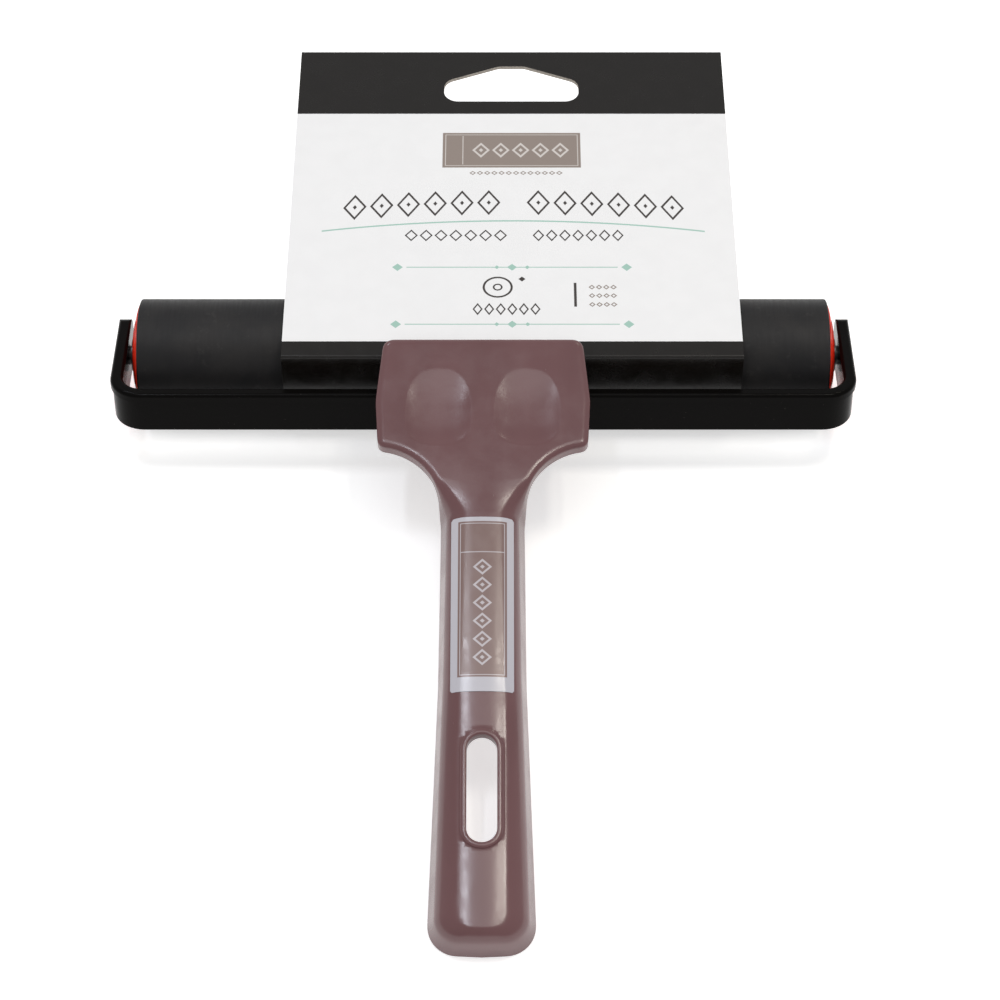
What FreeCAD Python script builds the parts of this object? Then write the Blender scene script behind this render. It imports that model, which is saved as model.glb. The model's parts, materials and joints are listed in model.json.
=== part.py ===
"""A hand brayer: rubber roller, U frame, moulded handle and a folded header card.

Row frame: X along the roller, the handle toward -Y, Z up from the surface that it lies on.
It lies on the card's wrap under the roller and on the handle's end. All sizes are in mm.
The strap frame is drawn about the roller axis, and the handle from its end and its rim plane.
A length in a feature is a sum of the sheet's aliases, such as "frame_half - strap_wall".
"""
import FreeCAD, Part
import math
import os

import Sketcher

doc = FreeCAD.newDocument("RubberBrayer")

SIZES = (
    ("axle_y", 26.45, "roller axis, along the row frame's Y"),
    ("axle_z", 13.25, "roller axis above the surface: wrap radius"),
    ("roller_half", 76.2, "half of the rubber sleeve's length"),
    ("rubber_radius", 12.5, "rubber sleeve, outside"),
    ("rubber_edge", 0.4, "rounding of the sleeve's end edges"),
    ("core_radius", 9.5, "core tube, outside"),
    ("core_bore", 8.0, "core tube, inside"),
    ("cap_radius", 11.3, "end cap's rim"),
    ("cap_rim", 0.35, "end cap's thickness at the rim"),
    ("cap_dome", 1.7, "end cap's height at the hub"),
    ("cap_hub", 4.5, "flat hub of the end cap"),
    ("cap_curve", 24.0, "radius of the cap's domed face"),
    ("cap_spigot", 8.0, "depth of the cap inside the core tube"),
    ("bush_radius", 3.0, "bush barrel"),
    ("bush_collar", 3.7, "bush flange radius"),
    ("bush_flange", 0.4, "bush flange thickness"),
    ("bush_bore", 2.2, "running fit on the stub axle"),
    ("bush_depth", 7.0, "bush barrel inside the cap"),
    ("axle_radius", 2.15, "stub axle"),
    ("axle_length", 11.0, "stub axle, from the arm's outside"),
    ("axle_tip", 0.5, "chamfer of the stub axle's tip"),
    ("frame_half", 81.3, "outside of an arm from the middle"),
    ("frame_reach", 20.5, "front of the cross strap from the axle"),
    ("arm_tail", 8.5, "arm beyond the axle"),
    ("tail_round", 3.0, "rounding of the arm's end corners"),
    ("strap_wall", 2.4, "strap thickness"),
    ("strap_height", 10.2, "strap height"),
    ("strap_half_height", 5.1, "strap's top edge above the axle plane"),
    ("bend_inner", 4.6, "inside bend of the frame"),
    ("strap_edge", 0.5, "rounding of the strap's lower edges"),
    ("bend_radius", 7.0, "outside bend of the frame"),
    ("bead_out", 0.4, "bead's overhang at the top edge"),
    ("bead_height", 2.0, "bead's height"),
    ("bead_round", 0.8, "rounding of the bead"),
    ("frame_pitch", 13.5, "frame's rise toward the handle, degrees"),
    ("handle_pitch", 10.0, "handle's rise from its end, degrees"),
    ("axle_reach", 143.13, "handle's end to the roller axis, along the handle"),
    ("axle_drop", 11.78, "roller axis below the handle's rim plane"),
    ("shell_depth", 9.0, "rim plane to the handle's top face"),
    ("shell_wall", 2.0, "handle's wall"),
    ("shell_draft", 12.0, "slope of the handle's sides, degrees"),
    ("shell_round", 4.4, "rounding of the handle's top edges"),
    ("cavity_corner", 4.0, "plan radius of the cavity's end corners"),
    ("cavity_round", 2.6, "rounding of the cavity's roof edges"),
    ("end_round", 6.0, "plan radius of the handle's end corners"),
    ("grip_end", 11.0, "half width of the grip at its end"),
    ("grip_neck", 8.8, "half width of the grip at its neck"),
    ("grip_waist", 9.2, "half width of the grip between its end and its neck"),
    ("waist_y", 58.0, "waist from the handle's end"),
    ("neck_y", 93.0, "neck from the handle's end"),
    ("spine_y", 118.0, "grip's channel under the head"),
    ("plate_wall", 3.0, "head plate's thickness"),
    ("plate_tip", 3.3, "half width of the plate where it leaves the grip"),
    ("plate_start", 93.6, "start of the head plate"),
    ("flare_half", 9.4, "half width where the flare starts"),
    ("flare_y", 99.2, "start of the flare"),
    ("flare_radius", 14.3, "radius of the flare"),
    ("front_half", 22.4, "half width at the head's front corners"),
    ("front_y", 109.9, "head's front corners"),
    ("head_half", 23.0, "widest part of the head"),
    ("head_y", 121.0, "where the head is widest"),
    ("rear_half", 21.5, "half width at the head's rear edge"),
    ("rear_y", 135.9, "head's rear edge"),
    ("plate_corner", 2.0, "plan rounding of the head's corners"),
    ("plate_round", 1.5, "rounding of the head's top edges"),
    ("hollow_x", 9.5, "thumb hollow from the middle"),
    ("hollow_y", 119.5, "thumb hollow from the handle's end"),
    ("hollow_rise", 1.7, "thumb hollow's centre above the plate"),
    ("hollow_high", 3.4, "thumb hollow's ellipsoid, upright"),
    ("hollow_wide", 8.1, "thumb hollow's ellipsoid, across"),
    ("hollow_long", 10.4, "thumb hollow's ellipsoid, along"),
    ("slot_start", 21.0, "hang slot's near end"),
    ("slot_stop", 44.0, "hang slot's far end"),
    ("slot_half", 3.1, "hang slot's half width"),
    ("rim_width", 1.3, "rim round the hang slot"),
    ("rim_rise", 0.5, "rim above the grip's top face"),
    ("rim_round", 0.4, "rounding of the rim"),
    ("web_bite", 0.5, "webs' overlap with the plate"),
    ("box_half", 19.0, "half length of the strap box"),
    ("box_wall", 2.0, "strap box wall, front, top and bottom"),
    ("box_back", 0.9, "strap box wall on the roller's side"),
    ("web_wall", 2.0, "web thickness"),
    ("web_inner", 6.4, "inner webs from the middle"),
    ("web_outer", 17.0, "outer webs from the middle"),
    ("web_front", 112.0, "webs' front end under the plate"),
    ("web_back", 130.2, "webs' rear end"),
    ("web_toe", 121.0, "webs' lowest point, along the handle"),
    ("web_low", 8.0, "webs' lowest point below the rim plane"),
    ("web_heel", 2.0, "webs' rear corner below the rim plane"),
    ("label_start", 53.3, "label's near end"),
    ("label_stop", 92.7, "label's far end"),
    ("label_half", 6.5, "label's half width"),
    ("label_wall", 0.15, "label thickness"),
    ("card_width", 100.6, "header card's width"),
    ("card_shift", 6.35, "card's middle, to the right of the handle"),
    ("card_wall", 0.45, "board thickness"),
    ("wrap_radius", 13.25, "outside of the card's wrap round the roller"),
    ("tangent_y", 13.213, "front face meets the wrap, forward of the axle"),
    ("tangent_z", 0.983, "front face meets the wrap, above the axle"),
    ("inner_tangent_y", 12.765, "the same on the inside"),
    ("inner_tangent_z", 0.95, "the same on the inside"),
    ("fold_y", 12.2, "front fold forward of the axle"),
    ("fold_z", 14.6, "front fold above the axle"),
    ("inner_fold_y", 11.786, "the same fold on the inside"),
    ("inner_fold_z", 14.104, "the same fold on the inside"),
    ("far_y", 90.1, "card's far edge behind the axle"),
    ("far_z", 3.8, "card's far edge above the axle"),
    ("join_y", 60.0, "where the two layers join"),
    ("join_z", 6.978, "where the two layers join"),
    ("crease_y", 8.0, "rear crease on the surface"),
    ("crease_inner", 7.919, "the same crease on the inside"),
    ("join_inner_y", 59.932, "the same join on the inside"),
    ("hole_half", 15.9, "half width of the hang hole"),
    ("hole_near", 72.1, "hang hole's near edge behind the axle"),
    ("hole_shoulder", 79.4, "hang hole's shoulders behind the axle"),
    ("hole_peak", 84.8, "hang hole's peak behind the axle"),
    ("hole_flat", 3.0, "half width of the hang hole's peak"),
    ("hole_round", 3.4, "rounding of the hang hole's ends"),
    ("cut_depth", 60.0, "through cuts"),
    ("cut_long", 200.0, "cut through both arms"),
)


def make_sheet():
    """One row for each driving size: alias, plain number, note."""
    sheet = doc.addObject("Spreadsheet::Sheet", "Dims")
    for row, (alias, value, note) in enumerate(SIZES, start=1):
        sheet.set("A%d" % row, alias)
        sheet.set("B%d" % row, str(value))
        sheet.set("C%d" % row, note)
        sheet.setAlias("B%d" % row, alias)
    doc.recompute()
    return sheet


sheet = make_sheet()


def size(alias):
    return float(sheet.get(alias))


ZERO = "0"


def is_sign(word):
    return word in ("+", "-")


def is_plain(word):
    return is_sign(word) or word == ZERO


def amount(text):
    """Value of a sum of aliases, such as 'frame_half - strap_wall'."""
    total = 0.0
    sign = 1.0
    for word in text.split():
        if is_sign(word):
            sign = 1.0 if word == "+" else -1.0
        elif word != ZERO:
            total += sign * size(word)
    return total


def formula(text):
    """The same sum as an expression on the sheet."""
    words = [word if is_plain(word) else "Dims." + word for word in text.split()]
    return " ".join(words)


def new_body(label):
    body = doc.addObject("PartDesign::Body", label)
    body.Label = label
    return body


def origin_plane(body, role):
    for feature in body.Origin.OriginFeatures:
        if feature.Role == role:
            return feature
    raise ValueError(role)


def new_sketch(body, name, role, lift=None):
    sketch = body.newObject("Sketcher::SketchObject", name)
    sketch.AttachmentSupport = [(origin_plane(body, role), "")]
    sketch.MapMode = "FlatFace"
    if lift:
        sketch.setExpression(".AttachmentOffset.Base.z", formula(lift))
    return sketch


def fix_coordinate(sketch, kind, axis, edge, point, text):
    if text == ZERO:
        sketch.addConstraint(Sketcher.Constraint("PointOnObject", edge, point, axis))
        return
    index = sketch.addConstraint(Sketcher.Constraint(kind, -1, 1, edge, point, amount(text)))
    sketch.setExpression("Constraints[%d]" % index, formula(text))


def arc_between(start, stop, radius, turn):
    """Arc from start to stop; turn is 1 for anticlockwise and -1 for clockwise."""
    chord = stop - start
    half = chord.Length / 2
    across = FreeCAD.Vector(-chord.y, chord.x, 0).normalize()
    offset = math.sqrt(max(radius ** 2 - half ** 2, 0.0))
    centre = start + chord * 0.5 + across * turn * offset
    angles = [math.atan2(point.y - centre.y, point.x - centre.x) for point in (start, stop)]
    circle = Part.Circle(centre, FreeCAD.Vector(0, 0, 1), radius)
    if turn > 0:
        return Part.ArcOfCircle(circle, angles[0], angles[1])
    return Part.ArcOfCircle(circle, angles[1], angles[0])


def trace(sketch, corners, arcs=()):
    """Closed outline through corners, each a pair of sums; arcs maps a side to (radius, turn)."""
    arcs = dict(arcs)
    points = [FreeCAD.Vector(amount(x_text), amount(y_text), 0) for x_text, y_text in corners]
    count = len(points)
    first = sketch.GeometryCount
    ends = []
    for side in range(count):
        start, stop = points[side], points[(side + 1) % count]
        if side in arcs:
            radius, turn = arcs[side]
            edge = sketch.addGeometry(arc_between(start, stop, amount(radius), turn), False)
            ends.append((1, 2) if turn > 0 else (2, 1))
            if near(amount(radius), (stop - start).Length / 2):
                fix_coordinate(sketch, "DistanceY", -1, edge, 3, corners[side][1])
            else:
                index = sketch.addConstraint(Sketcher.Constraint("Radius", edge, amount(radius)))
                sketch.setExpression("Constraints[%d]" % index, formula(radius))
        else:
            sketch.addGeometry(Part.LineSegment(start, stop), False)
            ends.append((1, 2))
    for side in range(count):
        after = (side + 1) % count
        sketch.addConstraint(Sketcher.Constraint(
            "Coincident", first + side, ends[side][1], first + after, ends[after][0]))
    for side, (x_text, y_text) in enumerate(corners):
        fix_coordinate(sketch, "DistanceX", -2, first + side, ends[side][0], x_text)
        fix_coordinate(sketch, "DistanceY", -1, first + side, ends[side][0], y_text)
    return sketch


def pad(body, sketch, length, both_ways=False, reversed_way=False):
    feature = body.newObject("PartDesign::Pad", "Pad")
    feature.Profile = sketch
    feature.setExpression("Length", formula(length))
    feature.Midplane = both_ways
    feature.Reversed = reversed_way
    doc.recompute()
    return feature


def pocket(body, sketch, length, both_ways=False, reversed_way=False):
    before = body.Shape.Volume
    feature = body.newObject("PartDesign::Pocket", "Pocket")
    feature.Profile = sketch
    feature.setExpression("Length", formula(length))
    feature.Midplane = both_ways
    feature.Reversed = reversed_way
    doc.recompute()
    if feature.Shape.isNull():
        raise ValueError("%s fails in %s" % (sketch.Label, body.Label))
    if before - feature.Shape.Volume < 0.01:
        raise ValueError("%s cuts nothing in %s" % (sketch.Label, body.Label))
    return feature


def revolve(body, sketch):
    feature = body.newObject("PartDesign::Revolution", "Revolution")
    feature.Profile = sketch
    feature.ReferenceAxis = (sketch, ["H_Axis"])
    feature.Angle = 360.0
    doc.recompute()
    return feature


def edges_where(feature, test):
    edges = feature.Shape.Edges
    return ["Edge%d" % number for number, edge in enumerate(edges, start=1) if test(edge)]


def fillet(body, base, radius, test):
    names = edges_where(base, test)
    if not names:
        raise ValueError("no edge to round in %s for %s" % (body.Label, radius))
    feature = body.newObject("PartDesign::Fillet", "Fillet")
    feature.Base = (base, names)
    feature.setExpression("Radius", formula(radius))
    doc.recompute()
    return feature


def near(value, target, slack=0.02):
    return abs(value - target) < slack


def is_upright(edge):
    ends = [vertex.Point for vertex in edge.Vertexes]
    if len(ends) != 2:
        return False
    rise = ends[1] - ends[0]
    return abs(rise.z) > 0.9 * rise.Length


def flat_at(edge, height):
    box = edge.BoundBox
    return near(box.ZMin, height) and near(box.ZMax, height)


def place(body, pitch=0.0, mirrored=False, shift_x=0.0):
    """Put a body on the roller axis: an optional half turn about Z, then the pitch about X."""
    half_turn = FreeCAD.Rotation(FreeCAD.Vector(0, 0, 1), 180.0 if mirrored else 0.0)
    tilt = FreeCAD.Rotation(FreeCAD.Vector(1, 0, 0), pitch)
    origin = FreeCAD.Vector(shift_x, size("axle_y"), size("axle_z"))
    body.Placement = FreeCAD.Placement(origin, tilt.multiply(half_turn))


def turned_piece(label, corners, arcs=()):
    body = new_body(label)
    sketch = new_sketch(body, label + "_profile", "XZ_Plane")
    trace(sketch, corners, arcs)
    return body, revolve(body, sketch)


def place_at_end(body, side):
    """The profile's origin is the rubber's end plane."""
    place(body, mirrored=side < 0, shift_x=side * size("roller_half"))


# ---------------------------------------------------------------- roller

def make_rubber_sleeve():
    corners = [("- roller_half", "core_radius"), ("- roller_half", "rubber_radius"),
               ("roller_half", "rubber_radius"), ("roller_half", "core_radius")]
    body, sleeve = turned_piece("rubber_sleeve", corners)
    outside = size("rubber_radius")

    def is_end_edge(edge):
        return near(edge.BoundBox.ZMax, outside) and near(edge.BoundBox.XLength, 0)

    fillet(body, sleeve, "rubber_edge", is_end_edge)
    place(body)
    return body


def make_core_tube():
    corners = [("- roller_half", "core_bore"), ("- roller_half", "core_radius"),
               ("roller_half", "core_radius"), ("roller_half", "core_bore")]
    body, _ = turned_piece("core_tube", corners)
    place(body)
    return body


def make_end_cap(label, side):
    corners = [("- cap_spigot", "bush_radius"), ("- cap_spigot", "core_bore"),
               ("0", "core_bore"), ("0", "cap_radius"), ("cap_rim", "cap_radius"),
               ("cap_dome", "cap_hub"), ("cap_dome", "bush_radius")]
    body, _ = turned_piece(label, corners, {4: ("cap_curve", -1)})
    place_at_end(body, side)
    return body


def make_bush(label, side):
    corners = [("cap_dome - bush_depth", "bush_bore"), ("cap_dome - bush_depth", "bush_radius"),
               ("cap_dome", "bush_radius"), ("cap_dome", "bush_collar"),
               ("cap_dome + bush_flange", "bush_collar"), ("cap_dome + bush_flange", "bush_bore")]
    body, _ = turned_piece(label, corners)
    place_at_end(body, side)
    return body


def make_stub_axle(label, side):
    inner = "frame_half - axle_length"
    corners = [(inner, "0"), (inner, "axle_radius - axle_tip"),
               (inner + " + axle_tip", "axle_radius"), ("frame_half", "axle_radius"),
               ("frame_half", "0")]
    body, _ = turned_piece(label, corners)
    place(body, mirrored=side < 0)
    return body


# ---------------------------------------------------------------- frame

def u_corners(bead):
    """U outline seen along the strap's height; bead widens the outside."""
    outer, front = "frame_half" + bead, "frame_reach" + bead
    inner, back = "frame_half - strap_wall", "frame_reach - strap_wall"
    minus_inner, minus_back = "- frame_half + strap_wall", "- frame_reach + strap_wall"
    minus_outer = "- frame_half" + bead.replace("+", "-")
    minus_front = "- frame_reach" + bead.replace("+", "-")
    return [(outer, "arm_tail"), (outer, minus_front), (minus_outer, minus_front),
            (minus_outer, "arm_tail"), (minus_inner, "arm_tail"), (minus_inner, minus_back),
            (inner, minus_back), (inner, "arm_tail")]


def round_strap(body, solid):
    """Bends first, then the long edges; the arms' ends stay square here."""
    front, wall, top = size("frame_reach"), size("strap_wall"), size("strap_half_height")

    def is_outer_bend(edge):
        return is_upright(edge) and edge.BoundBox.YMax < -front + 0.1

    def is_inner_bend(edge):
        return is_upright(edge) and near(edge.BoundBox.YMax, -front + wall)

    def is_tail(edge):
        return near(edge.BoundBox.YMin, size("arm_tail"))

    def is_bead_edge(edge):
        return flat_at(edge, top) and not is_tail(edge)

    def is_lower_edge(edge):
        return flat_at(edge, -top) and not is_tail(edge)

    solid = fillet(body, solid, "bend_radius", is_outer_bend)
    solid = fillet(body, solid, "bend_inner", is_inner_bend)
    solid = fillet(body, solid, "bead_round", is_bead_edge)
    fillet(body, solid, "strap_edge", is_lower_edge)


def cut_tail_corner(body, edge_z, inward, outward, turn):
    """Round one end corner of both arms; inward and outward are signs along Z."""
    beyond = "arm_tail + tail_round"
    above, below = edge_z + outward + "tail_round", edge_z + inward + "tail_round"
    corner = [("arm_tail - tail_round", edge_z), ("arm_tail", below), (beyond, below),
              (beyond, above), ("arm_tail - tail_round", above)]
    cut = new_sketch(body, "tail_corner", "YZ_Plane")
    pocket(body, trace(cut, corner, {0: ("tail_round", turn)}), "cut_long", both_ways=True)


def cut_axle_bore(body):
    bore = new_sketch(body, "axle_bore", "YZ_Plane")
    circle = Part.Circle(FreeCAD.Vector(), FreeCAD.Vector(0, 0, 1), size("axle_radius"))
    ring = bore.addGeometry(circle, False)
    bore.addConstraint(Sketcher.Constraint("Coincident", ring, 3, -1, 1))
    index = bore.addConstraint(Sketcher.Constraint("Radius", ring, size("axle_radius")))
    bore.setExpression("Constraints[%d]" % index, formula("axle_radius"))
    pocket(body, bore, "cut_long", both_ways=True)


def make_frame():
    """A strap bent to a U, with a bead along its top edge."""
    body = new_body("frame")
    strap = new_sketch(body, "strap_plan", "XY_Plane")
    pad(body, trace(strap, u_corners("")), "strap_height", both_ways=True)
    bead = new_sketch(body, "bead_plan", "XY_Plane", "strap_half_height")
    solid = pad(body, trace(bead, u_corners(" + bead_out")), "bead_height", reversed_way=True)
    round_strap(body, solid)
    cut_tail_corner(body, "strap_half_height", " - ", " + ", -1)
    cut_tail_corner(body, "- strap_half_height", " + ", " - ", 1)
    cut_axle_bore(body)
    place(body, pitch=-size("frame_pitch"))
    return body


# ---------------------------------------------------------------- handle

def rectangle(half, start, stop):
    minus = "- " + half
    return [(minus, start), (half, start), (half, stop), (minus, stop)]


def grip_corners(grow):
    """Grip outline at the rim plane; grow is empty or a sum that moves every side outward."""
    shrink = grow.replace("+", "-")
    return [("- grip_end" + shrink, "0" + shrink), ("grip_end" + grow, "0" + shrink),
            ("grip_waist" + grow, "waist_y"), ("grip_neck" + grow, "neck_y"),
            ("grip_neck" + grow, "spine_y"), ("- grip_neck" + shrink, "spine_y"),
            ("- grip_neck" + shrink, "neck_y"), ("- grip_waist" + shrink, "waist_y")]


def make_grip(body, grow=""):
    """Draft-sided grip with rounded top edges, open at its far end under the head."""
    outline = new_sketch(body, body.Label + "_grip_plan", "XY_Plane")
    solid = pad(body, trace(outline, grip_corners(grow)), "shell_depth" + grow)
    solid.setExpression("TaperAngle", "-Dims.shell_draft")
    doc.recompute()

    def is_end_corner(edge):
        return is_upright(edge) and edge.BoundBox.YMax < size("end_round")

    solid = fillet(body, solid, "end_round", is_end_corner)
    top = amount("shell_depth" + grow)

    def is_top_edge(edge):
        return flat_at(edge, top) and edge.BoundBox.YMin < size("neck_y")

    return fillet(body, solid, "shell_round" + grow, is_top_edge)


def hollow_out(body):
    """The grip's cavity, open at the rim plane, with its own draft and rounded roof."""
    wall = " - shell_wall"
    inner = [(side + add, along) for side, add, along in (
        ("grip_end", wall, "shell_wall"), ("grip_waist", wall, "waist_y"),
        ("grip_neck", wall, "neck_y"), ("grip_neck", wall, "spine_y - shell_wall"))]
    mirrored = [("- " + side.replace("-", "+"), along) for side, along in reversed(inner)]
    wide = inner[0][0]
    cavity = new_sketch(body, "cavity_plan", "XY_Plane")
    trace(cavity, inner + mirrored)
    solid = pocket(body, cavity, "shell_depth" + wall, reversed_way=True)
    solid.setExpression("TaperAngle", "-Dims.shell_draft")
    doc.recompute()
    roof = amount("shell_depth" + wall)
    reach = amount(wide) + 0.1

    def is_end_corner(edge):
        box = edge.BoundBox
        is_inside = max(box.XMax, -box.XMin) < reach
        return is_upright(edge) and is_inside and box.YMax < size("end_round")

    def is_roof_edge(edge):
        return flat_at(edge, roof)

    solid = fillet(body, solid, "cavity_corner", is_end_corner)
    return fillet(body, solid, "cavity_round", is_roof_edge)


def add_head_plate(body):
    start = [("- plate_tip", "plate_start"), ("plate_tip", "plate_start"),
             ("flare_half", "flare_y"), ("front_half", "front_y"), ("head_half", "head_y"),
             ("rear_half", "rear_y"), ("- rear_half", "rear_y"), ("- head_half", "head_y"),
             ("- front_half", "front_y"), ("- flare_half", "flare_y")]
    plan = new_sketch(body, "head_plan", "XY_Plane", "shell_depth")
    trace(plan, start, {2: ("flare_radius", -1), 8: ("flare_radius", -1)})
    solid = pad(body, plan, "plate_wall", reversed_way=True)
    bottom = size("shell_depth") - size("plate_wall")

    def is_corner(edge):
        box = edge.BoundBox
        at_front = near(box.YMin, size("front_y")) and near(box.ZMin, bottom)
        at_rear = near(box.YMin, size("rear_y"))
        return is_upright(edge) and (at_front or at_rear)

    solid = fillet(body, solid, "plate_corner", is_corner)
    top = size("shell_depth")

    def is_top_edge(edge):
        box = edge.BoundBox
        return flat_at(edge, top) and box.YMax > size("flare_y") + 0.5

    return fillet(body, solid, "plate_round", is_top_edge)


def add_thumb_hollows(body):
    for side in (-1, 1):
        hollow = body.newObject("PartDesign::SubtractiveEllipsoid", "ThumbHollow")
        hollow.AttachmentSupport = [(origin_plane(body, "XY_Plane"), "")]
        hollow.MapMode = "FlatFace"
        hollow.setExpression("Radius1", formula("hollow_high"))
        hollow.setExpression("Radius2", formula("hollow_wide"))
        hollow.setExpression("Radius3", formula("hollow_long"))
        sign = "-" if side < 0 else ""
        hollow.setExpression(".AttachmentOffset.Base.x", sign + formula("hollow_x"))
        hollow.setExpression(".AttachmentOffset.Base.y", formula("hollow_y"))
        hollow.setExpression(".AttachmentOffset.Base.z", formula("shell_depth + hollow_rise"))
        doc.recompute()
    return hollow


def racetrack(sketch, half):
    """A round-ended outline along the handle; half is the sum for its half width."""
    minus = "- " + half.replace("+", "-")
    near_end, far_end = "slot_start + slot_half", "slot_stop - slot_half"
    corners = [(minus, near_end), (half, near_end), (half, far_end), (minus, far_end)]
    return trace(sketch, corners, {0: (half, 1), 2: (half, 1)})


def add_hang_slot(body):
    rim = new_sketch(body, "rim_plan", "XY_Plane", "shell_depth + rim_rise")
    racetrack(rim, "slot_half + rim_width")
    pad(body, rim, "shell_wall + rim_rise", reversed_way=True)
    slot = new_sketch(body, "slot_plan", "XY_Plane")
    racetrack(slot, "slot_half")
    solid = pocket(body, slot, "cut_depth", both_ways=True)
    top = amount("shell_depth + rim_rise")

    def is_rim_edge(edge):
        return flat_at(edge, top)

    return fillet(body, solid, "rim_round", is_rim_edge)


def strap_sketch(body, name):
    """A sketch on the YZ plane whose axes follow the frame: origin on the roller axis."""
    sketch = new_sketch(body, name, "YZ_Plane")
    sketch.setExpression(".AttachmentOffset.Base.x", formula("axle_reach"))
    sketch.setExpression(".AttachmentOffset.Base.y", "-" + formula("axle_drop"))
    sketch.setExpression(".AttachmentOffset.Rotation.Angle", "-Dims.frame_pitch - Dims.handle_pitch")
    return sketch


def add_strap_box(body):
    """Webs under the head carry a box that closes round the strap; the window is the strap's section."""
    front, back = "- frame_reach - bead_out", "- frame_reach + strap_wall"
    under = "shell_depth - plate_wall + web_bite"
    for place_x in ("web_inner", "web_outer", "- web_inner", "- web_outer"):
        web = new_sketch(body, "web", "YZ_Plane", place_x)
        trace(web, [("web_front", under), ("web_toe", "- web_low"),
                    ("web_back", "- web_heel"), ("web_back", under)])
        pad(body, web, "web_wall", both_ways=True)
    box = strap_sketch(body, "strap_box")
    low, high = "- strap_half_height - box_wall", "strap_half_height + box_wall"
    trace(box, [(front + " - box_wall", low), (back + " + box_back", low),
                (back + " + box_back", high), (front + " - box_wall", high)])
    pad(body, box, "box_half + box_half", both_ways=True)
    window = strap_sketch(body, "strap_window")
    middle, top = "strap_half_height - bead_height", "strap_half_height"
    trace(window, [("- frame_reach", "- strap_half_height"), (back, "- strap_half_height"),
                   (back, top), (front, top), (front, middle), ("- frame_reach", middle)])
    return pocket(body, window, "cut_depth", both_ways=True)


def handle_placement():
    """The handle's end rim touches the surface and its strap window meets the frame."""
    pitch = math.radians(size("handle_pitch"))
    reach, drop = size("axle_reach"), size("axle_drop")
    end_y = size("axle_y") - reach * math.cos(pitch) - drop * math.sin(pitch)
    end_z = size("axle_z") - reach * math.sin(pitch) + drop * math.cos(pitch)
    tilt = FreeCAD.Rotation(FreeCAD.Vector(1, 0, 0), size("handle_pitch"))
    return FreeCAD.Placement(FreeCAD.Vector(0, end_y, end_z), tilt)


def make_handle():
    body = new_body("handle_shell")
    make_grip(body)
    hollow_out(body)
    add_head_plate(body)
    add_hang_slot(body)
    add_thumb_hollows(body)
    add_strap_box(body)
    body.Placement = handle_placement()
    return body


def make_label():
    """A thin skin on the grip: the grip grown by the label's thickness, less the grip."""
    grip = new_body("label_core")
    make_grip(grip)
    body = new_body("handle_label")
    make_grip(body, " + label_wall")
    around = new_sketch(body, "label_around", "XY_Plane")
    trace(around, rectangle("cut_depth", "0 - cut_depth", "cut_long"))
    trace(around, rectangle("label_half", "label_start", "label_stop"))
    pocket(body, around, "cut_depth", both_ways=True)
    skin = body.newObject("PartDesign::Boolean", "Skin")
    skin.Type = "Cut"
    skin.Group = [grip]
    doc.recompute()
    body.Placement = handle_placement()
    return body


# ---------------------------------------------------------------- header card

def make_header_card():
    """One board folded over the roller: front panel, wrap and rear layer, with a hang hole."""
    body = new_body("header_card")
    board = new_sketch(body, "board", "YZ_Plane")
    trace(board, [("far_y", "far_z"), ("- fold_y", "fold_z"), ("- tangent_y", "tangent_z"),
                  ("0", "- wrap_radius"), ("crease_y", "- wrap_radius"),
                  ("join_y", "join_z - card_wall - card_wall"),
                  ("far_y", "far_z - card_wall - card_wall")], {2: ("wrap_radius", 1)})
    trace(board, [("join_inner_y", "join_z - card_wall"), ("- inner_fold_y", "inner_fold_z"),
                  ("- inner_tangent_y", "inner_tangent_z"), ("0", "- wrap_radius + card_wall"),
                  ("crease_inner", "- wrap_radius + card_wall")],
          {2: ("wrap_radius - card_wall", 1)})
    pad(body, board, "card_width", both_ways=True)
    hole = new_sketch(body, "hang_hole", "XY_Plane")
    trace(hole, [("- hole_half", "hole_near"), ("hole_half", "hole_near"),
                 ("hole_half", "hole_shoulder"), ("hole_flat", "hole_peak"),
                 ("- hole_flat", "hole_peak"), ("- hole_half", "hole_shoulder")])
    solid = pocket(body, hole, "cut_depth", both_ways=True)

    def is_hole_corner(edge):
        box = edge.BoundBox
        inside = max(box.XMax, -box.XMin) < size("hole_half") + 0.1
        return is_upright(edge) and inside and box.YMin > size("hole_near") - 0.1

    fillet(body, solid, "hole_round", is_hole_corner)
    place(body, shift_x=size("card_shift"))
    return body


def make_pieces():
    pieces = [make_rubber_sleeve(), make_core_tube()]
    for name, side in (("left", -1), ("right", 1)):
        pieces.append(make_end_cap("end_cap_" + name, side))
        pieces.append(make_bush("bush_" + name, side))
        pieces.append(make_stub_axle("stub_axle_" + name, side))
    pieces += [make_frame(), make_handle(), make_label(), make_header_card()]
    return pieces


def check_document(pieces):
    for item in doc.Objects:
        if "Invalid" in item.State or "Error" in item.State:
            raise ValueError("%s is in error: %s" % (item.Label, item.State))
    for piece in pieces:
        shape = piece.Shape
        if shape.isNull() or not shape.isValid() or len(shape.Solids) != 1:
            raise ValueError("%s has no single valid solid" % piece.Label)


pieces = make_pieces()
doc.recompute()
check_document(pieces)
os.makedirs("parts", exist_ok=True)
for piece in pieces:
    piece.Shape.exportStep("parts/%s.step" % piece.Label)
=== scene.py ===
import json
import math

import bmesh
import bpy
from mathutils import Matrix, Vector
from mathutils.geometry import delaunay_2d_cdt


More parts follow.
